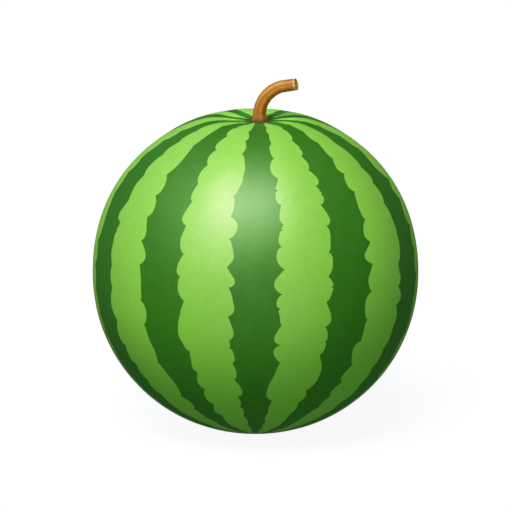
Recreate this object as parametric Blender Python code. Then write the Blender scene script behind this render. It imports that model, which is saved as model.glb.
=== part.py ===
"""A round striped watermelon with its short cut stem, resting on a small flat spot.

The flat spot is in the plane Z = 0 with its centre at the origin, and the stem is at the top.
Units are metres. The fruit is one solid, and the stem is another that stands in the fruit's hollow.
"""

import math

import bmesh
import bpy
from mathutils import Vector

# The fruit's body, a solid of revolution about Z before its natural unevenness is added.
BODY_RADIUS = 0.120
UNDER_HEIGHT = 0.119
CROWN_HEIGHT = 0.120
CROWN_SQUARENESS = 2.10
UNDER_SQUARENESS = 2.04
REST_RADIUS = 0.020
HOLLOW_RADIUS = 0.040
HOLLOW_DEPTH = 0.0062
REST_SHARE = (REST_RADIUS / BODY_RADIUS) ** UNDER_SQUARENESS
EQUATOR_Z = UNDER_HEIGHT * (1 - REST_SHARE) ** (1 / UNDER_SQUARENESS)

# Ten shallow furrows run from the stem to the blossom end, the first of them facing -Y.
# They are deepest on the crown, where cos * sin^2 of the angle from +Z has its peak.
FURROWS = 10
FURROW_AT_CROWN = 0.0008
FURROW_AT_EQUATOR = 0.0002
FURROW_PEAK = 2 / (3 * math.sqrt(3))

# The blossom scar, a shallow saucer that lies beside the flat spot, towards -Y.
BLOSSOM_LEAN = math.radians(18.7)
BLOSSOM_RADIUS = 0.0075
BLOSSOM_DEPTH = 0.0009

# The fruit's mesh: sides round it, and rows between the hollow's centre and the flat spot.
SIDES = 80
HOLLOW_ROWS = 9
CROWN_ROWS = 13
UNDER_ROWS = 12
BLOSSOM_ROWS = 8
BLOSSOM_ROWS_START = math.radians(28)

# The stem: its foot in plan, its centre line as two Bezier spans, and its sizes.
STEM_FOOT = Vector((0.0031, 0.0, 0.0))
STEM_CURVE = (
    Vector((0.0, 0.0, 0.0)),
    Vector((-0.0013, 0.0000, 0.0090)),
    Vector((0.0014, -0.0002, 0.0170)),
    Vector((0.0090, -0.0010, 0.0228)),
    Vector((0.0147, -0.0016, 0.0272)),
    Vector((0.0197, -0.0028, 0.0266)),
    Vector((0.0268, -0.0048, 0.0287)),
)
STEM_RADIUS = 0.0047
STEM_TIP_RADIUS = 0.0042
STEM_FLARE = 0.0040
STEM_FLARE_LENGTH = 0.0075
STEM_FLARE_POWER = 2.2
STEM_FLARE_LOBES = 0.12
STEM_RIBS = 5
STEM_RIB_HEIGHT = 0.00035
STEM_RIB_FADE = 0.6
STEM_SIDES = 30
STEM_ROWS = 26
STEM_ROW_CROWDING = 1.25

# The cut end: a rim, and inside it a floor that is sunk a little; both are shares of the radius.
CUT_RIM = 0.86
CUT_FLOOR = 0.78
CUT_SINK = 0.0005

# What touches in life is kept this far apart here.
TOUCH_GAP = 0.0003

# Edges sharper than these are drawn sharp.
FRUIT_SHARP_ANGLE = math.radians(60)
STEM_SHARP_ANGLE = math.radians(40)

# Base colours in linear light, and roughness.
RIND_COLOUR = (0.16, 0.42, 0.08)
RIND_ROUGHNESS = 0.38
STEM_COLOUR = (0.42, 0.20, 0.06)
STEM_ROUGHNESS = 0.6


def clear_scene():
    """Removes whatever the open file's scene holds."""
    for thing in list(bpy.context.scene.objects):
        bpy.data.objects.remove(thing, do_unlink=True)


def fade(value):
    """1 at 0 and below, falling smoothly to 0 at 1 and above."""
    share = min(max(value, 0.0), 1.0)
    return 0.5 + 0.5 * math.cos(math.pi * share)


def body_profile(polar):
    """Distance from the equator's centre to the plain body, at an angle from +Z."""
    across = abs(math.sin(polar))
    along = math.cos(polar)
    height = CROWN_HEIGHT if along > 0 else UNDER_HEIGHT
    power = CROWN_SQUARENESS if along > 0 else UNDER_SQUARENESS
    total = (across / BODY_RADIUS) ** power + (abs(along) / height) ** power
    return total ** (-1 / power)


def furrow_depth(polar, around):
    """How far the rind lies inside the plain body because of the furrows."""
    crown = max(math.cos(polar), 0.0) * math.sin(polar) ** 2 / FURROW_PEAK
    deepest = FURROW_AT_CROWN * crown + FURROW_AT_EQUATOR * math.sin(polar) ** 2
    return deepest * (0.5 + 0.5 * math.cos(FURROWS * around))


def blossom_centre():
    """The place of the blossom scar on the plain body."""
    reach = body_profile(math.pi - BLOSSOM_LEAN)
    return Vector((0.0, -reach * math.sin(BLOSSOM_LEAN), EQUATOR_Z - reach * math.cos(BLOSSOM_LEAN)))


def rind_point(polar, around):
    """A point of the rind. The angle around is 0 at -Y and grows towards +X."""
    reach = body_profile(polar) - furrow_depth(polar, around)
    radius = reach * math.sin(polar)
    height = EQUATOR_Z + reach * math.cos(polar)
    if polar < math.pi / 2:
        height -= HOLLOW_DEPTH * fade(radius / HOLLOW_RADIUS)
    point = Vector((radius * math.sin(around), -radius * math.cos(around), height))
    towards_scar = fade((point - blossom_centre()).length / BLOSSOM_RADIUS)
    inwards = (Vector((0.0, 0.0, EQUATOR_Z)) - point).normalized()
    point += inwards * BLOSSOM_DEPTH * towards_scar
    return point


def rind_rows():
    """The polar angles of the fruit's rows, from beside the hollow's centre to the flat spot's edge."""
    hollow_end = math.asin(HOLLOW_RADIUS / BODY_RADIUS)
    flat_edge = math.pi - math.atan2(REST_RADIUS, EQUATOR_Z)
    blossom_start = math.pi - BLOSSOM_ROWS_START
    stops = (
        (0.0, hollow_end, HOLLOW_ROWS),
        (hollow_end, math.pi / 2, CROWN_ROWS),
        (math.pi / 2, blossom_start, UNDER_ROWS),
        (blossom_start, flat_edge, BLOSSOM_ROWS),
    )
    rows = []
    for start, end, count in stops:
        for step in range(1, count + 1):
            rows.append(start + (end - start) * step / count)
    return rows


def new_material(name, colour, roughness):
    """A plain Principled BSDF material of something that isn't metal."""
    material = bpy.data.materials.new(name)
    material.use_nodes = True
    shader = material.node_tree.nodes["Principled BSDF"]
    shader.inputs["Base Color"].default_value = (*colour, 1.0)
    shader.inputs["Roughness"].default_value = roughness
    shader.inputs["Metallic"].default_value = 0.0
    return material


def ring_of(mesh, points):
    """Adds a ring of vertices."""
    return [mesh.verts.new(point) for point in points]


def join_rings(mesh, upper, lower):
    """Faces between two rings whose points run the same way round."""
    count = len(upper)
    for side in range(count):
        following = (side + 1) % count
        mesh.faces.new((upper[side], lower[side], lower[following], upper[following]))


def close_ring(mesh, ring, centre):
    """A fan of faces from a ring to a new vertex at its centre."""
    middle = mesh.verts.new(centre)
    for side, corner in enumerate(ring):
        mesh.faces.new((middle, corner, ring[(side + 1) % len(ring)]))


def add_object(name, mesh, material, sharp_angle):
    """Makes an object of a finished bmesh, with its faces pointing out."""
    bmesh.ops.recalc_face_normals(mesh, faces=mesh.faces)
    data = bpy.data.meshes.new(name)
    mesh.to_mesh(data)
    mesh.free()
    data.materials.append(material)
    data.shade_smooth()
    data.set_sharp_from_angle(angle=sharp_angle)
    thing = bpy.data.objects.new(name, data)
    bpy.context.scene.collection.objects.link(thing)
    return thing


def make_fruit():
    """The whole fruit: crown with its hollow, furrowed sides, blossom scar and flat resting spot."""
    mesh = bmesh.new()
    rings = []
    for polar in rind_rows():
        angles = [math.tau * side / SIDES for side in range(SIDES)]
        rings.append(ring_of(mesh, [rind_point(polar, around) for around in angles]))
    for corner in rings[-1]:
        corner.co.z = 0.0
    for upper, lower in zip(rings, rings[1:]):
        join_rings(mesh, upper, lower)
    close_ring(mesh, rings[0], rind_point(0.0, 0.0))
    close_ring(mesh, rings[-1], Vector((0.0, 0.0, 0.0)))
    rind = new_material("rind", RIND_COLOUR, RIND_ROUGHNESS)
    return add_object("fruit", mesh, rind, FRUIT_SHARP_ANGLE)


def rind_height(across, along):
    """Height of the rind inside the hollow, at a place in plan."""
    radius = math.hypot(across, along)
    polar = math.asin(radius / CROWN_HEIGHT)
    return rind_point(polar, math.atan2(across, -along)).z


def stem_path_point(share):
    """A point on the stem's centre line and its direction there, for a share of the way from 0 to 1."""
    span = 0 if share < 0.5 else 3
    part = 2 * share - (1 if span else 0)
    start, leave, arrive, end = STEM_CURVE[span : span + 4]
    rest = 1 - part
    point = rest**3 * start + 3 * rest**2 * part * leave + 3 * rest * part**2 * arrive + part**3 * end
    direction = rest**2 * (leave - start) + 2 * rest * part * (arrive - leave) + part**2 * (end - arrive)
    foot = Vector((STEM_FOOT.x, STEM_FOOT.y, rind_height(STEM_FOOT.x, STEM_FOOT.y)))
    return foot + point, direction.normalized()


def stem_radius(share, height, around):
    """Radius of the stem, ribbed along its length and flared at its foot."""
    plain = STEM_RADIUS + (STEM_TIP_RADIUS - STEM_RADIUS) * share
    flare = STEM_FLARE * max(1 - height / STEM_FLARE_LENGTH, 0.0) ** STEM_FLARE_POWER
    rib = math.cos(STEM_RIBS * around)
    rib_height = STEM_RIB_HEIGHT * (1 - STEM_RIB_FADE * share)
    return plain + flare * (1 + STEM_FLARE_LOBES * rib) + rib_height * rib


def stem_ring(share):
    """The points of the stem's section at a share of its length."""
    centre, direction = stem_path_point(share)
    aside = Vector((0.0, 1.0, 0.0)).cross(direction).normalized()
    front = direction.cross(aside)
    height = (centre - stem_path_point(0.0)[0]).length
    points = []
    for side in range(STEM_SIDES):
        around = math.tau * side / STEM_SIDES
        radius = stem_radius(share, height, around)
        points.append(centre + radius * (math.cos(around) * aside + math.sin(around) * front))
    return points


def make_stem():
    """The cut stem: its foot follows the hollow, and its cut end is sunk a little inside its rim."""
    mesh = bmesh.new()
    rings = []
    for row in range(STEM_ROWS + 1):
        share = row / STEM_ROWS
        points = stem_ring(share**STEM_ROW_CROWDING)
        if row == 0:
            for point in points:
                point.z = rind_height(point.x, point.y) + TOUCH_GAP
        rings.append(ring_of(mesh, points))
    for lower, upper in zip(rings, rings[1:]):
        join_rings(mesh, upper, lower)

    tip, direction = stem_path_point(1.0)
    rim = [tip + CUT_RIM * (corner.co - tip) for corner in rings[-1]]
    sunk = tip - CUT_SINK * direction
    floor = [sunk + CUT_FLOOR * (corner.co - tip) for corner in rings[-1]]
    rim_ring = ring_of(mesh, rim)
    floor_ring = ring_of(mesh, floor)
    join_rings(mesh, rim_ring, rings[-1])
    join_rings(mesh, floor_ring, rim_ring)
    close_ring(mesh, floor_ring, sunk)

    foot = stem_path_point(0.0)[0]
    close_ring(mesh, rings[0], foot + Vector((0.0, 0.0, TOUCH_GAP)))
    skin = new_material("stem", STEM_COLOUR, STEM_ROUGHNESS)
    return add_object("stem", mesh, skin, STEM_SHARP_ANGLE)


def main():
    clear_scene()
    make_fruit()
    make_stem()


main()
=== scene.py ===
"""The looks of a whole round striped watermelon: its rind and its cut stem."""
import math

import bpy
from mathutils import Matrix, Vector


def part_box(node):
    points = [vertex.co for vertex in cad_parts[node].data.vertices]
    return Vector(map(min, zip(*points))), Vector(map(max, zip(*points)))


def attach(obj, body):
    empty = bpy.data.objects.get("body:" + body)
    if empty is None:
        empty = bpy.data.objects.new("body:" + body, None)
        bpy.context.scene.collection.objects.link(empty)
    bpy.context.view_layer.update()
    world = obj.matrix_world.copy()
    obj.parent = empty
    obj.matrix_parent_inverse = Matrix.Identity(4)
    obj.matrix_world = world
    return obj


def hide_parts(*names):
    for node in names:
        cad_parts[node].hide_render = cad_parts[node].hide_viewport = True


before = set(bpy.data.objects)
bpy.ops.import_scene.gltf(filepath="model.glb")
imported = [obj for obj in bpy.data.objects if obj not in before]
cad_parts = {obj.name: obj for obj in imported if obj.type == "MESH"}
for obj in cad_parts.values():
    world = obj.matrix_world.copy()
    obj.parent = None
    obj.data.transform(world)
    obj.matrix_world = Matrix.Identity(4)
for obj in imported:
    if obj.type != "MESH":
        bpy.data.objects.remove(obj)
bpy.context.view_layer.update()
fruit_low, fruit_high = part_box("fruit")

# The fruit's body, in metres: a solid of revolution before its natural unevenness is added.
BODY_RADIUS = (fruit_high.x - fruit_low.x) / 2
UNDER_HEIGHT = 0.119
CROWN_HEIGHT = 0.120
CROWN_SQUARENESS = 2.10
UNDER_SQUARENESS = 2.04
REST_RADIUS = 0.020
REST_SHARE = (REST_RADIUS / BODY_RADIUS) ** UNDER_SQUARENESS
EQUATOR_Z = UNDER_HEIGHT * (1 - REST_SHARE) ** (1 / UNDER_SQUARENESS)
HOLLOW_RADIUS = 0.040
HOLLOW_DEPTH = 0.0062
FLAT_EDGE_ROUNDING = 0.0004
UNEVENNESS = 0.0005
RIND_SIDES = 300
RIND_ROWS = 300

# Ten furrows run near the dark stripes. They are deepest on the crown, and pleat the hollow.
STRIPES = 10
FURROW_AT_CROWN = 0.0008
FURROW_AT_EQUATOR = 0.0002
FURROW_PEAK = 2 / (3 * math.sqrt(3))
PLEAT_DEPTH = 0.0008
PLEAT_START = (0.008, 0.017)
PLEAT_END = (0.044, 0.020)

# The blossom scar lies beside the flat resting spot, towards the front.
BLOSSOM_LEAN = math.radians(18.7)
BLOSSOM_REACH = 0.1192
BLOSSOM_RADIUS = 0.0075
BLOSSOM_DEPTH = 0.0009
BLOSSOM_BUTTON = 0.0005
BUTTON_NARROWNESS = 3.2
BLOSSOM_PLACE = Vector((
    0.0,
    -BLOSSOM_REACH * math.sin(BLOSSOM_LEAN),
    EQUATOR_Z - BLOSSOM_REACH * math.cos(BLOSSOM_LEAN),
))

# The stem's foot, its centre line as two Bezier spans that start there, and its sizes.
STEM_FOOT = Vector((0.0031, 0.0, EQUATOR_Z + CROWN_HEIGHT - HOLLOW_DEPTH))
STEM_CURVE = (
    Vector((0.0, 0.0, 0.0)),
    Vector((-0.0013, 0.0000, 0.0090)),
    Vector((0.0014, -0.0002, 0.0170)),
    Vector((0.0090, -0.0010, 0.0228)),
    Vector((0.0147, -0.0016, 0.0272)),
    Vector((0.0197, -0.0028, 0.0266)),
    Vector((0.0268, -0.0048, 0.0287)),
)
STEM_LENGTH = 0.042
STEM_RADIUS = 0.0047
STEM_TIP_RADIUS = 0.00435
STEM_FLARE = 0.0040
STEM_FLARE_LENGTH = 0.0075
STEM_FLARE_POWER = 2.2
STEM_FLARE_LOBES = 0.12
STEM_RIBS = 5
STEM_RIB_HEIGHT = 0.00035
STEM_RIB_FADE = 0.6
STEM_FIBRE_HEIGHT = 0.00035
STEM_RIM_WEAR = 0.00010
STEM_PACE = 1.1
STEM_SIDES = 120
STEM_ROWS = 260

# The first rows of the stem close its foot, which lies on the rind. The last rows make the cut end.
UNDERSIDE_SHARE = 0.04
SEAT_SHARE = 0.10
SEAT_DEPTH = 0.0002
CUT_SHARE = 0.12
CUT_SINK = 0.0005
PITH_SINK = 0.0006

# The stripes run about an axis that leans back, and bend to meet at the stem and at the scar.
STRIPE_LEAN = math.radians(10.7)
STRIPE_UP = Vector((0.0, math.sin(STRIPE_LEAN), math.cos(STRIPE_LEAN)))
STRIPE_FRONT = Vector((0.0, -math.cos(STRIPE_LEAN), math.sin(STRIPE_LEAN)))
CROWN_BEND_POWER = 2.6
BEND_AT_STEM = math.cos(STRIPE_LEAN) ** CROWN_BEND_POWER
CROWN_BEND = math.sin(STRIPE_LEAN) / BEND_AT_STEM
CROWN_BEND_ASIDE = STEM_FOOT.x / (CROWN_HEIGHT - HOLLOW_DEPTH) / BEND_AT_STEM
UNDER_BEND_POWER = 2.3
UNDER_LEAN = BLOSSOM_LEAN - STRIPE_LEAN
UNDER_BEND = math.sin(UNDER_LEAN) / math.cos(UNDER_LEAN) ** UNDER_BEND_POWER
STRIPE_CROWDING = math.radians(2.7)

# Lobes of light green reach into the dark stripes. Widths and reaches are in degrees of turn.
TURN_PER_STRIPE = 360 / STRIPES
DARK_HALF_WIDTH = 9.8
STEM_END_WIDENING = 7.0
LOBES_PER_EDGE = 24.0
LOBE_LEAN = 0.01
LOBE_ROUNDNESS = 0.72
LEAST_REACH = 1.15
REACH_SPREAD = 2.0

# Most pairs of lobes stay two lobes. The others join into one that reaches further.
PLAIN_SHARE = 0.86
JOINED_GAIN = 0.3

# A few lobes have a nick. The edge itself is nearly sharp, and its softness is in metres.
UNNICKED_SHARE = 0.90
NICK_DEPTH = 0.8
EDGE_SOFTNESS = 0.00012


# ---------------------------------------------------------------- arithmetic in node trees


class Term:
    """A number or a vector inside a node tree. Arithmetic on it adds the nodes that do it."""

    def __init__(self, tree, socket):
        self.tree = tree
        self.socket = socket

    def math(self, operation, *others):
        node = add_node(self.tree, "ShaderNodeMath", operation=operation)
        feed(self.tree, node, (self, *others))
        return Term(self.tree, node.outputs[0])

    def vector_math(self, operation, *others, output=0):
        node = add_node(self.tree, "ShaderNodeVectorMath", operation=operation)
        feed(self.tree, node, (self, *others))
        return Term(self.tree, node.outputs[output])

    def __add__(self, other):
        return self.math("ADD", other)

    def __sub__(self, other):
        return self.math("SUBTRACT", other)

    def __mul__(self, other):
        return self.math("MULTIPLY", other)

    def __truediv__(self, other):
        return self.math("DIVIDE", other)

    def __pow__(self, other):
        return self.math("POWER", other)

    def __neg__(self):
        return self * -1.0

    def __rsub__(self, other):
        return -self + other

    __radd__ = __add__
    __rmul__ = __mul__


def add_node(tree, kind, **settings):
    """Adds a node and sets its properties."""
    node = tree.nodes.new(kind)
    for name, value in settings.items():
        setattr(node, name, value)
    return node


def give(tree, socket, value):
    """Gives one input a term or a plain value, or leaves it as it is."""
    if isinstance(value, Term):
        tree.links.new(value.socket, socket)
    elif value is not None:
        socket.default_value = value


def feed(tree, node, values):
    """Gives a node's inputs, in order, their terms and values."""
    for socket, value in zip(node.inputs, values):
        give(tree, socket, value)


def scaled(vector, factor):
    """A vector made longer or shorter by a factor."""
    return vector.vector_math("SCALE", None, None, factor)


def smooth_step(term, start, end):
    """0 at the start and beyond, 1 at the end and beyond, with a soft way between."""
    node = add_node(term.tree, "ShaderNodeMapRange", interpolation_type="SMOOTHSTEP")
    low_value, high_value = (0.0, 1.0) if end > start else (1.0, 0.0)
    feed(term.tree, node, (term, min(start, end), max(start, end), low_value, high_value))
    return Term(term.tree, node.outputs[0])


def even_step(term, start, end):
    """0 before the start and 1 after the end, rising evenly between."""
    node = add_node(term.tree, "ShaderNodeMapRange", interpolation_type="LINEAR")
    feed(term.tree, node, (term, start, end, 0.0, 1.0))
    return Term(term.tree, node.outputs[0])


def fade(term):
    """1 at 0 and below, falling smoothly to 0 at 1 and above."""
    share = term.math("MAXIMUM", 0.0).math("MINIMUM", 1.0)
    return (share * math.pi).math("COSINE") * 0.5 + 0.5


def between(low, high, share):
    """The value that is this share of the way from low to high."""
    return low + (high - low) * share


def vector_of(tree, x, y, z):
    """A vector made of three terms or numbers."""
    node = add_node(tree, "ShaderNodeCombineXYZ")
    feed(tree, node, (x, y, z))
    return Term(tree, node.outputs[0])


def parts_of(vector):
    """The three numbers of a vector."""
    node = add_node(vector.tree, "ShaderNodeSeparateXYZ")
    give(vector.tree, node.inputs[0], vector)
    return [Term(vector.tree, socket) for socket in node.outputs]


def noise(place, scale, detail=2.0, roughness=0.5, output="Fac"):
    """Soft noise from 0 to 1 at a place, or as three noises with the output Color."""
    tree = place.tree
    node = add_node(tree, "ShaderNodeTexNoise", noise_dimensions="3D")
    settings = {"Vector": place, "Scale": scale, "Detail": detail, "Roughness": roughness}
    for name, value in settings.items():
        give(tree, node.inputs[name], value)
    return Term(tree, node.outputs[output])


def chances(first, second):
    """Three random numbers from 0 to 1 that belong to a pair of whole numbers."""
    tree = first.tree
    node = add_node(tree, "ShaderNodeTexWhiteNoise", noise_dimensions="3D")
    give(tree, node.inputs["Vector"], vector_of(tree, first, second, 0.5))
    return parts_of(Term(tree, node.outputs["Color"]))


def cells(place, scale, feature="F1"):
    """A distance in a pattern of cells: to a cell's middle, or to its wall."""
    tree = place.tree
    node = add_node(tree, "ShaderNodeTexVoronoi", voronoi_dimensions="3D", feature=feature)
    give(tree, node.inputs["Vector"], place)
    give(tree, node.inputs["Scale"], scale)
    return Term(tree, node.outputs["Distance"])


# ---------------------------------------------------------------- shapes grown by Geometry Nodes


class Growth:
    """A Geometry Nodes tree with named inputs, and the object that it grows."""

    def __init__(self, name):
        self.tree = bpy.data.node_groups.new(name, "GeometryNodeTree")
        self.values = {}
        self.tree.interface.new_socket("Geometry", in_out="INPUT", socket_type="NodeSocketGeometry")
        self.tree.interface.new_socket("Geometry", in_out="OUTPUT", socket_type="NodeSocketGeometry")
        self.start = self.tree.nodes.new("NodeGroupInput")
        self.end = self.tree.nodes.new("NodeGroupOutput")

    def _named_input(self, name, value, kind):
        socket = self.tree.interface.new_socket(name, in_out="INPUT", socket_type=kind)
        self.values[socket.identifier] = value
        return Term(self.tree, self.start.outputs[name])

    def size(self, name, value):
        """A named number that the modifier sets."""
        return self._named_input(name, value, "NodeSocketFloat")

    def count(self, name, value):
        """A named whole number that the modifier sets."""
        return self._named_input(name, value, "NodeSocketInt")

    def material(self, value):
        """The named material that the modifier sets."""
        return self._named_input("Material", value, "NodeSocketMaterial")

    def field(self, kind):
        """A value that each point has, such as its place."""
        return Term(self.tree, self.tree.nodes.new(kind).outputs[0])

    def step(self, kind, geometry, settings=None, **inputs):
        """A node that takes the geometry on. Its other inputs are given by name."""
        node = add_node(self.tree, kind, **(settings or {}))
        give(self.tree, node.inputs[0], geometry)
        for name, value in inputs.items():
            give(self.tree, node.inputs[name], value)
        return Term(self.tree, node.outputs[0])

    def remember(self, geometry, name, value, kind="FLOAT"):
        """Keeps a value on the points for the material to read."""
        settings = {"data_type": kind, "domain": "POINT"}
        keeper = "GeometryNodeStoreNamedAttribute"
        return self.step(keeper, geometry, settings, Name=name, Value=value)

    def finish(self, geometry, material):
        """Closes the poles, shades smooth, leaves no instances and gives the material."""
        closed = self.step("GeometryNodeMergeByDistance", geometry, Distance=1e-6)
        smooth = self.step("GeometryNodeSetShadeSmooth", closed)
        real = self.step("GeometryNodeRealizeInstances", smooth)
        dressed = self.step("GeometryNodeSetMaterial", real, Material=self.material(material))
        give(self.tree, self.end.inputs[0], dressed)

    def grow(self, host, name):
        """Runs the tree on a host object and leaves the result as an object with a plain mesh."""
        bpy.context.scene.collection.objects.link(host)
        modifier = host.modifiers.new("grow", "NODES")
        modifier.node_group = self.tree
        for identifier, value in self.values.items():
            modifier[identifier] = value
        graph = bpy.context.evaluated_depsgraph_get()
        mesh = bpy.data.meshes.new_from_object(host.evaluated_get(graph), depsgraph=graph)
        host.modifiers.remove(modifier)
        bpy.data.objects.remove(host, do_unlink=True)
        mesh.name = name
        piece = bpy.data.objects.new(name, mesh)
        bpy.context.scene.collection.objects.link(piece)
        return piece


def hollow_sink(growth, radius, x, y):
    """How far the crown dips below the plain body, at a place in plan: the hollow and its pleats."""
    depth = growth.size("Hollow Depth", HOLLOW_DEPTH)
    depth = depth * fade(radius / growth.size("Hollow Radius", HOLLOW_RADIUS))
    about_stem = (x - STEM_FOOT.x).math("ARCTAN2", -y)
    fold = (about_stem * float(STRIPES)).math("COSINE") * 0.5 + 0.5
    reach = smooth_step(radius, *PLEAT_START) * smooth_step(radius, *PLEAT_END)
    return depth + growth.size("Pleat Depth", PLEAT_DEPTH) * fold * reach


def grow_rind(material):
    """The whole outside of the fruit, shaped from a ball by the rule of its body."""
    growth = Growth("grow rind")
    tree = growth.tree
    ball = add_node(tree, "GeometryNodeMeshUVSphere")
    feed(tree, ball, (growth.count("Sides", RIND_SIDES), growth.count("Rows", RIND_ROWS), 1.0))
    direction = growth.field("GeometryNodeInputPosition")
    x, y, along = parts_of(direction)
    across = (x * x + y * y).math("SQRT")
    around = x.math("ARCTAN2", -y)

    crown = along.math("GREATER_THAN", 0.0)
    height = between(
        growth.size("Under Height", UNDER_HEIGHT),
        growth.size("Crown Height", CROWN_HEIGHT),
        crown,
    )
    power = between(
        growth.size("Under Squareness", UNDER_SQUARENESS),
        growth.size("Crown Squareness", CROWN_SQUARENESS),
        crown,
    )
    plan_part = (across / growth.size("Body Radius", BODY_RADIUS)) ** power
    height_part = (along.math("ABSOLUTE") / height) ** power
    reach = (plan_part + height_part) ** -(power ** -1.0)

    crown_furrow = along.math("MAXIMUM", 0.0) * across * across / FURROW_PEAK
    deepest = growth.size("Crown Furrow", FURROW_AT_CROWN) * crown_furrow
    deepest = deepest + growth.size("Equator Furrow", FURROW_AT_EQUATOR) * across * across
    furrow = deepest * ((around * float(STRIPES)).math("COSINE") * 0.5 + 0.5)
    uneven = noise(direction, 2.3, 3.0) * growth.size("Unevenness", UNEVENNESS) * across
    body = scaled(direction, reach - furrow - uneven)

    body_x, body_y, body_z = parts_of(body)
    radius = (body_x * body_x + body_y * body_y).math("SQRT")
    sunk_z = body_z + EQUATOR_Z - hollow_sink(growth, radius, body_x, body_y) * crown
    sunk = vector_of(tree, body_x, body_y, sunk_z)

    from_scar = sunk.vector_math("DISTANCE", BLOSSOM_PLACE, output=1)
    scar_radius = growth.size("Scar Radius", BLOSSOM_RADIUS)
    dent = growth.size("Scar Depth", BLOSSOM_DEPTH) * fade(from_scar / scar_radius)
    button = fade(from_scar / scar_radius * BUTTON_NARROWNESS)
    dent = dent - growth.size("Scar Button", BLOSSOM_BUTTON) * button
    scarred = sunk.vector_math("SUBTRACT", scaled(direction, dent))
    flat_x, flat_y, flat_z = parts_of(scarred)
    resting_z = flat_z.math("SMOOTH_MAX", 0.0, FLAT_EDGE_ROUNDING)
    grown = vector_of(tree, flat_x, flat_y, resting_z)

    shaped = growth.step("GeometryNodeSetPosition", Term(tree, ball.outputs[0]), Position=grown)
    growth.finish(shaped, material)
    host = bpy.data.objects.new("rind host", bpy.data.meshes.new("rind host"))
    return growth.grow(host, "watermelon_rind")


def stem_path():
    """The stem's centre line, as a curve object."""
    data = bpy.data.curves.new("stem path", "CURVE")
    data.dimensions = "3D"
    data.resolution_u = 64
    spline = data.splines.new("BEZIER")
    spline.bezier_points.add(len(STEM_CURVE) // 3)
    for index, knot in enumerate(spline.bezier_points):
        middle = 3 * index
        knot.handle_left_type = "FREE"
        knot.handle_right_type = "FREE"
        knot.co = STEM_FOOT + STEM_CURVE[middle]
        knot.handle_left = STEM_FOOT + STEM_CURVE[max(middle - 1, 0)]
        knot.handle_right = STEM_FOOT + STEM_CURVE[min(middle + 1, len(STEM_CURVE) - 1)]
    return bpy.data.objects.new("stem path", data)


def grow_stem(material):
    """The cut stem: ribbed and flared along its path, its foot on the rind, its cut end sunk."""
    growth = Growth("grow stem")
    tree = growth.tree
    tube = add_node(tree, "GeometryNodeMeshCylinder", fill_type="NONE")
    sides = growth.count("Sides", STEM_SIDES)
    rows = growth.count("Rows", STEM_ROWS)
    tube_sizes = {"Vertices": sides, "Side Segments": rows, "Radius": 1.0, "Depth": 1.0}
    for name, value in tube_sizes.items():
        give(tree, tube.inputs[name], value)
    x, y, z = parts_of(growth.field("GeometryNodeInputPosition"))
    row = z + 0.5
    under = even_step(row, 0.0, UNDERSIDE_SHARE)
    along = even_step(row, UNDERSIDE_SHARE, 1 - CUT_SHARE)
    cut = even_step(row, 1 - CUT_SHARE, 1.0)

    path = add_node(tree, "GeometryNodeSampleCurve", mode="FACTOR", use_all_curves=True)
    give(tree, path.inputs["Curves"], Term(tree, growth.start.outputs[0]))
    give(tree, path.inputs["Factor"], along ** STEM_PACE)
    centre = Term(tree, path.outputs["Position"])
    heading = Term(tree, path.outputs["Tangent"])
    level = vector_of(tree, 0.0, 1.0, 0.0)
    aside = level.vector_math("CROSS_PRODUCT", heading).vector_math("NORMALIZE")
    front = heading.vector_math("CROSS_PRODUCT", aside)

    around = y.math("ARCTAN2", x)
    height = along * STEM_LENGTH
    rib = (around * float(STEM_RIBS)).math("COSINE")
    foot_radius = growth.size("Radius", STEM_RADIUS)
    plain = between(foot_radius, growth.size("Tip Radius", STEM_TIP_RADIUS), along)
    rise = (1.0 - height / growth.size("Flare Length", STEM_FLARE_LENGTH)).math("MAXIMUM", 0.0)
    lobed = rib * STEM_FLARE_LOBES + 1.0
    flare = growth.size("Flare", STEM_FLARE) * rise ** STEM_FLARE_POWER * lobed
    rib_height = growth.size("Rib Height", STEM_RIB_HEIGHT) * (1.0 - along * STEM_RIB_FADE)
    straight_row = vector_of(tree, x, y, along * 1.6)
    fibre = (noise(straight_row, 5.5, 3.0) - 0.5) * growth.size("Fibre Height", STEM_FIBRE_HEIGHT)
    worn = smooth_step(along, 0.985, 1.0) * STEM_RIM_WEAR
    radius = plain + flare + rib * rib_height + fibre - worn

    inside_rim = smooth_step(cut, 0.12, 0.24)
    pith = smooth_step(cut, 0.80, 0.95)
    inside = radius * under * (1.0 - cut)
    sink = inside_rim * growth.size("Cut Sink", CUT_SINK) + pith * PITH_SINK
    section = scaled(aside, x * inside).vector_math("ADD", scaled(front, y * inside))
    place = centre.vector_math("ADD", section).vector_math("SUBTRACT", scaled(heading, sink))

    place_x, place_y, place_z = parts_of(place)
    plan = (place_x * place_x + place_y * place_y).math("SQRT")
    plan_part = (plan / BODY_RADIUS) ** CROWN_SQUARENESS
    dome = (1.0 - plan_part) ** (1 / CROWN_SQUARENESS) * CROWN_HEIGHT
    rind_z = dome + EQUATOR_Z - hollow_sink(growth, plan, place_x, place_y)
    seated_z = between(rind_z - SEAT_DEPTH, place_z, smooth_step(along, 0.0, SEAT_SHARE))
    seated = vector_of(tree, place_x, place_y, seated_z)

    straight = vector_of(tree, x * radius, y * radius, height)
    kept = growth.remember(Term(tree, tube.outputs[0]), "straight", straight, "FLOAT_VECTOR")
    kept = growth.remember(kept, "along", along)
    kept = growth.remember(kept, "cut", cut)
    kept = growth.remember(kept, "rib", rib)
    growth.finish(growth.step("GeometryNodeSetPosition", kept, Position=seated), material)
    return growth.grow(stem_path(), "cut_stem")


# ---------------------------------------------------------------- finishes


def colour(red, green, blue):
    """A linear colour from 0-255 display values."""
    def linear(value):
        share = value / 255
        return share / 12.92 if share <= 0.04045 else ((share + 0.055) / 1.055) ** 2.4
    return (linear(red), linear(green), linear(blue), 1.0)


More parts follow.
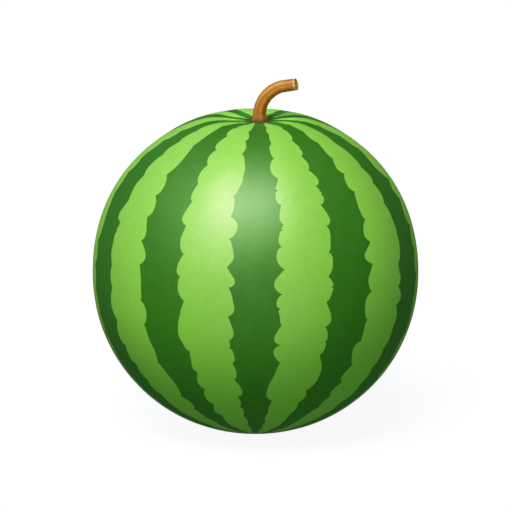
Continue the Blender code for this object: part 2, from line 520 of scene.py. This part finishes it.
def tinted(base, other, share):
    """A colour mixed from two, each a colour or a term."""
    tree = share.tree
    node = add_node(tree, "ShaderNodeMix", data_type="RGBA", clamp_factor=True)
    give(tree, node.inputs[0], share)
    give(tree, node.inputs[6], base)
    give(tree, node.inputs[7], other)
    return Term(tree, node.outputs[2])


class Finish:
    """A material with one Principled shader."""

    def __init__(self, name):
        self.material = bpy.data.materials.new(name)
        self.material.use_nodes = True
        self.tree = self.material.node_tree
        self.shader = self.tree.nodes["Principled BSDF"]

    def place(self):
        """Object coordinates, in metres."""
        return Term(self.tree, add_node(self.tree, "ShaderNodeTexCoord").outputs["Object"])

    def kept(self, name, output="Fac"):
        """A value that the shape's growth left on the mesh."""
        node = add_node(self.tree, "ShaderNodeAttribute", attribute_name=name)
        return Term(self.tree, node.outputs[output])

    def give(self, **values):
        """Sets the shader's inputs by name, with _ for a space."""
        for name, value in values.items():
            give(self.tree, self.shader.inputs[name.replace("_", " ")], value)

    def relief(self, height, distance, before=None):
        """A bump from a height of 0 to 1 that stands so many metres proud."""
        node = add_node(self.tree, "ShaderNodeBump")
        give(self.tree, node.inputs["Strength"], 1.0)
        give(self.tree, node.inputs["Distance"], distance)
        give(self.tree, node.inputs["Height"], height)
        give(self.tree, node.inputs["Normal"], before)
        return Term(self.tree, node.outputs["Normal"])


def stripe_pattern(place):
    """1 on the dark stripes and 0 on the light ones, with lobed edges."""
    centre = Vector((0.0, 0.0, EQUATOR_Z))
    direction = place.vector_math("SUBTRACT", centre).vector_math("NORMALIZE")
    up = direction.vector_math("DOT_PRODUCT", STRIPE_UP, output=1)
    front = direction.vector_math("DOT_PRODUCT", STRIPE_FRONT, output=1)
    aside = parts_of(direction)[0]
    above = up.math("MAXIMUM", 0.0) ** CROWN_BEND_POWER
    below = (-up).math("MAXIMUM", 0.0) ** UNDER_BEND_POWER
    bent_front = front - above * CROWN_BEND - below * UNDER_BEND
    bent_aside = aside - above * CROWN_BEND_ASIDE
    angle = bent_aside.math("ARCTAN2", bent_front)
    sideways = angle.math("SINE")
    crowding = sideways * sideways.math("ABSOLUTE") ** 3.0 * STRIPE_CROWDING
    turn = (angle + crowding) * (STRIPES / math.tau) + 0.5
    way = up.math("ARCCOSINE") / math.pi

    stripe = turn.math("FLOOR").math("FLOORED_MODULO", float(STRIPES))
    aside_of_middle = turn.math("FRACT") - 0.5
    edge = stripe * 2.0 + aside_of_middle.math("GREATER_THAN", 0.0)
    from_middle = aside_of_middle.math("ABSOLUTE") * TURN_PER_STRIPE

    tree = place.tree
    start = chances(edge, edge + 40.0)[0]
    paced = way + (way * math.tau).math("SINE") * 0.025
    unsteady = noise(vector_of(tree, way * 7.0, edge * 3.7, 0.0), 1.0, 1.0) - 0.5
    lean = (from_middle - TURN_PER_STRIPE / 4) * LOBE_LEAN
    lobes = paced * LOBES_PER_EDGE + start * 5.0 + unsteady * 1.3 + lean
    pair = (lobes * 0.5).math("FLOOR")
    joined = chances(pair, edge + 80.0)[0].math("GREATER_THAN", PLAIN_SHARE)
    lobe = between(lobes.math("FLOOR"), pair + 500.0, joined)
    within = between(lobes.math("FRACT"), (lobes * 0.5).math("FRACT"), joined)
    size, skew, nick = chances(lobe, edge)
    leaning = within ** (skew + 0.75)
    bulge = (leaning * (1.0 - leaning) * 4.0) ** LOBE_ROUNDNESS
    nick_place = (within - 0.25 - size * 0.45).math("ABSOLUTE")
    nicked = nick.math("GREATER_THAN", UNNICKED_SHARE)
    nick_depth = smooth_step(nick_place, 0.06, 0.0) * nicked * NICK_DEPTH
    plain_reach = bulge * (size * REACH_SPREAD + LEAST_REACH)
    lobe_reach = plain_reach * (joined * JOINED_GAIN + 1.0) - nick_depth

    slow_wobble = noise(vector_of(tree, way * 9.0, edge * 5.1, 4.0), 1.0, 2.0) - 0.5
    quick_wobble = noise(vector_of(tree, way * 34.0, edge * 3.3, 9.0), 1.0, 0.0) - 0.5
    wobble = slow_wobble * 1.4 + quick_wobble * 2.0
    from_stem = place.vector_math("DISTANCE", STEM_FOOT, output=1)
    stem_end = smooth_step(from_stem, 0.026, 0.007) * STEM_END_WIDENING
    half_width = wobble - lobe_reach + DARK_HALF_WIDTH + stem_end
    crumb = (noise(place, 900.0, 2.0) - 0.5) * 0.08
    metres = (half_width - from_middle + crumb) * (math.radians(1) * BODY_RADIUS)
    return smooth_step(metres, -EDGE_SOFTNESS, EDGE_SOFTNESS)


def rind_finish():
    """Waxy rind: light and dark green stripes with fine veins, specks, a ground patch and the scar."""
    finish = Finish("waxy striped rind")
    place = finish.place()
    dark = stripe_pattern(place)

    broad = noise(place, 14.0, 2.0)
    grain = noise(place, 620.0, 3.0, 0.6)
    mottle = noise(place, 130.0, 4.0, 0.6)
    warped = place.vector_math("ADD", scaled(noise(place, 60.0, output="Color"), 0.006))
    wide_veins = smooth_step(cells(warped, 75.0, "DISTANCE_TO_EDGE"), 0.075, 0.0)
    fine_veins = smooth_step(cells(warped, 210.0, "DISTANCE_TO_EDGE"), 0.10, 0.0)
    specks = smooth_step(cells(place, 420.0), 0.20, 0.10)

    light_green = tinted(colour(148, 225, 74), colour(156, 230, 82), broad)
    light_green = tinted(light_green, colour(132, 206, 64), smooth_step(mottle, 0.35, 0.75) * 0.25)
    light_green = tinted(light_green, colour(104, 180, 52), wide_veins * 0.06 + fine_veins * 0.04)
    light_green = tinted(light_green, colour(190, 230, 130), specks * 0.15)
    light_green = tinted(light_green, colour(108, 182, 48), smooth_step(grain, 0.52, 0.72) * 0.12)

    dark_green = tinted(colour(43, 119, 11), colour(51, 129, 17), broad)
    dark_green = tinted(dark_green, colour(70, 144, 34), smooth_step(mottle, 0.42, 0.8) * 0.25)
    dark_green = tinted(dark_green, colour(36, 100, 16), wide_veins * 0.12 + fine_veins * 0.08)
    dark_green = tinted(dark_green, colour(96, 166, 62), specks * 0.12)
    dark_green = tinted(dark_green, colour(30, 96, 10), smooth_step(grain, 0.52, 0.72) * 0.14)

    height = parts_of(place)[2]
    # Partly painted shade: the light stripes are painted a deeper green from 160 mm height down. Some
    # of this is the rind's own deeper green low down, and some stands in for the shade on the lower
    # half.
    lower_tone_and_shade = smooth_step(height, 0.160, 0.015)
    light_green = tinted(light_green, colour(122, 206, 58), lower_tone_and_shade * 0.8)
    skin = tinted(light_green, dark_green, dark)

    from_stem = place.vector_math("DISTANCE", STEM_FOOT, output=1)
    # Painted shade: a dark green ring on the rind round the stem's foot, where the stem meets and
    # shades it.
    stem_contact_shade = smooth_step(from_stem + (mottle - 0.5) * 0.004, 0.0140, 0.0085)
    skin = tinted(skin, colour(26, 72, 14), stem_contact_shade * 0.85)

    patch_edge = height + (noise(place, 45.0, 3.0) - 0.5) * 0.005
    patch = smooth_step(patch_edge, 0.0034, 0.0006)
    skin = tinted(skin, colour(232, 218, 132), patch * 0.85)

    from_scar = place.vector_math("DISTANCE", BLOSSOM_PLACE, output=1) + (mottle - 0.5) * 0.003
    cork = smooth_step(from_scar, 0.0072, 0.0052)
    button = smooth_step(from_scar, 0.0026, 0.0014)
    skin = tinted(skin, colour(158, 128, 78), cork * 0.9)
    skin = tinted(skin, colour(96, 70, 40), button * 0.8)

    # The highlight has less green on the light stripes, and is dull round the stem.
    wax = tinted((1.0, 0.22, 1.0, 1.0), (0.92, 1.0, 0.74, 1.0), dark)
    wax = tinted(wax, (0.25, 0.35, 0.20, 1.0), smooth_step(from_stem, 0.065, 0.018) * 0.9)
    dull_crown = smooth_step(from_stem, 0.034, 0.013)
    finish.give(
        Base_Color=skin,
        Roughness=(mottle - 0.5) * 0.08 + cork * 0.35 + dull_crown * 0.52 + 0.43,
        Specular_IOR_Level=0.95,
        Specular_Tint=wax,
        IOR=1.45,
    )
    pores = finish.relief(specks, 0.00001)
    veins = finish.relief(1.0 - wide_veins * 0.6 - fine_veins * 0.4, 0.00002, pores)
    finish.give(Normal=finish.relief(mottle + cork * noise(place, 700.0, 3.0), 0.00004, veins))
    return finish.material


def stem_finish():
    """Dry fibrous stem, darker in its grooves and at its foot, paler at the cut."""
    finish = Finish("dry melon stem")
    tree = finish.tree
    straight = finish.kept("straight", "Vector")
    along = finish.kept("along")
    cut = finish.kept("cut")
    rib = finish.kept("rib")
    x, y, z = parts_of(straight)
    drawn = vector_of(tree, x, y, z * 0.07)
    strands = noise(drawn, 1500.0, 4.0, 0.6)
    streaks = noise(drawn, 480.0, 2.0)
    blotches = noise(straight, 160.0, 3.0)

    skin = tinted(colour(188, 112, 30), colour(218, 148, 52), smooth_step(streaks, 0.30, 0.68))
    skin = tinted(skin, colour(236, 180, 96), smooth_step(strands, 0.55, 0.80) * 0.40)
    skin = tinted(skin, colour(156, 84, 22), smooth_step(rib, -0.2, -1.0) * 0.24)
    skin = tinted(skin, colour(160, 88, 24), smooth_step(blotches, 0.55, 0.8) * 0.35)

    # Painted shade: the stem's underside is painted a deeper orange-red, standing in for the shade
    # under it.
    underside_shade = smooth_step(x, -0.0022, 0.0036) * smooth_step(along, 0.04, 0.25)
    near_foot = smooth_step(along, 0.24, 0.04)
    foot = smooth_step(along, 0.095, 0.030)
    darker_near_tip = smooth_step(along, 0.72, 0.92)
    pale_edge_and_highlight = smooth_step(along, 0.95, 0.99)
    skin = tinted(skin, colour(222, 98, 18), underside_shade * 0.72)
    skin = tinted(skin, colour(140, 80, 16), near_foot * 0.80)
    # Partly painted shade: the lowest band of the stem, where it meets the rind, is painted near
    # black-brown. Part of this is the foot's own dark brown and part is painted contact shade.
    skin = tinted(skin, colour(56, 28, 8), foot * 0.90)
    # Darker towards the cut end.
    skin = tinted(skin, colour(160, 98, 30), darker_near_tip * 0.50)
    # Partly painted highlight: the band just before the cut is painted pale gold. Part of this is the
    # cut rim's own paler edge and part is a painted highlight where the edge catches the light.
    skin = tinted(skin, colour(246, 198, 112), pale_edge_and_highlight * 0.75)

    is_cut = smooth_step(cut, 0.02, 0.08)
    grain = noise(vector_of(tree, x, y, 0.0), 1400.0, 3.0)
    pulp = tinted(colour(250, 150, 62), colour(255, 174, 88), grain)
    pulp = tinted(pulp, colour(168, 90, 36), smooth_step(cut, 0.17, 0.13))
    ring = smooth_step((cut - 0.45).math("ABSOLUTE"), 0.09, 0.03)
    pulp = tinted(pulp, colour(186, 114, 52), ring * 0.5)
    pulp = tinted(pulp, colour(146, 80, 34), smooth_step(cut, 0.78, 0.92) * 0.7)
    skin = tinted(skin, pulp, is_cut)

    dull_foot = smooth_step(along, 0.20, 0.06)
    finish.give(
        Base_Color=skin,
        Roughness=(strands - 0.5) * 0.2 + is_cut * 0.25 + dull_foot * 0.40 + 0.42,
        Specular_IOR_Level=0.40,
        IOR=1.45,
    )
    fibres = finish.relief(strands, 0.00012)
    finish.give(Normal=finish.relief(blotches, 0.0002, fibres))
    return finish.material


# ---------------------------------------------------------------- camera, light and floor


def aim(thing, place, target):
    """Puts a camera or a lamp at a place, looking at a target."""
    thing.location = place
    thing.rotation_euler = (target - place).to_track_quat("-Z", "Y").to_euler()
    bpy.context.scene.collection.objects.link(thing)


def make_camera():
    """A long lens in front of the fruit, a little above it."""
    data = bpy.data.cameras.new("camera")
    data.lens = 500.0
    data.sensor_width = 36.0
    data.clip_end = 100.0
    camera = bpy.data.objects.new("camera", data)
    lean = math.radians(14)
    distance = 5.229
    rise = 0.0116
    shift_right = 0.0004
    straight_up = Vector((0.0, math.sin(lean), math.cos(lean)))
    towards_lens = Vector((0.0, -math.cos(lean), math.sin(lean)))
    target = Vector((shift_right, 0.0, EQUATOR_Z)) + straight_up * rise
    aim(camera, target + towards_lens * distance, target)
    bpy.context.scene.camera = camera


def make_lamp(name, direction, strength, softness, tint):
    """A far soft light from a direction. Its softness is how wide it looks, in degrees."""
    data = bpy.data.lights.new(name, "SUN")
    data.energy = strength
    data.angle = math.radians(softness)
    data.color = tint
    lamp = bpy.data.objects.new(name, data)
    centre = Vector((0.0, 0.0, EQUATOR_Z))
    distance = 3.0
    aim(lamp, centre + Vector(direction) * distance, centre)
    return lamp


def make_lights():
    """A key high at the front left, a wide lamp that only shines, weak soft lights, and a pale room."""
    make_lamp("key", (-0.177, -0.479, 0.860), 2.45, 34, (1.0, 0.93, 0.99))
    shine = make_lamp("shine", (-0.255, -0.545, 0.800), 3.75, 70, (0.74, 1.0, 0.58))
    shine.visible_diffuse = False
    front = make_lamp("front", (-0.60, -0.60, 0.53), 0.63, 60, (0.94, 0.90, 1.0))
    low = make_lamp("low", (0.12, -0.93, -0.28), 0.70, 60, (0.80, 1.0, 0.75))
    back = make_lamp("back", (-0.45, 0.75, 0.48), 0.90, 60, (0.56, 0.70, 1.0))
    side = make_lamp("side", (0.76, 0.64, 0.14), 0.46, 60, (0.50, 1.0, 0.36))
    for lamp in (front, low, back, side):
        lamp.visible_glossy = False

    world = bpy.data.worlds.new("pale room")
    world.use_nodes = True
    background = world.node_tree.nodes["Background"]
    background.inputs["Color"].default_value = (0.70, 1.0, 0.66, 1.0)
    background.inputs["Strength"].default_value = 0.086
    bpy.context.scene.world = world


def make_floor():
    """A wide plain pale floor that glows a little, so that shadows on it stay faint."""
    reach = 30.0
    mesh = bpy.data.meshes.new("floor")
    corners = [(-reach, -reach), (reach, -reach), (reach, reach), (-reach, reach)]
    mesh.from_pydata([(x, y, 0.0) for x, y in corners], [], [(0, 1, 2, 3)])
    floor = bpy.data.objects.new("floor", mesh)
    bpy.context.scene.collection.objects.link(floor)
    finish = Finish("pale floor")
    finish.give(Base_Color=(0.11, 0.11, 0.11, 1.0), Roughness=1.0, Specular_IOR_Level=0.0)
    finish.give(Emission_Color=(1.0, 1.0, 1.0, 1.0), Emission_Strength=0.92)
    mesh.materials.append(finish.material)
    floor.visible_diffuse = False
    floor.visible_glossy = False
    floor.visible_shadow = False


make_camera()
make_lights()
make_floor()
bpy.context.scene.view_settings.view_transform = "Standard"

rind = grow_rind(rind_finish())
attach(rind, "root")
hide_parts("fruit")

stem = grow_stem(stem_finish())
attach(stem, "root")
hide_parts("stem")
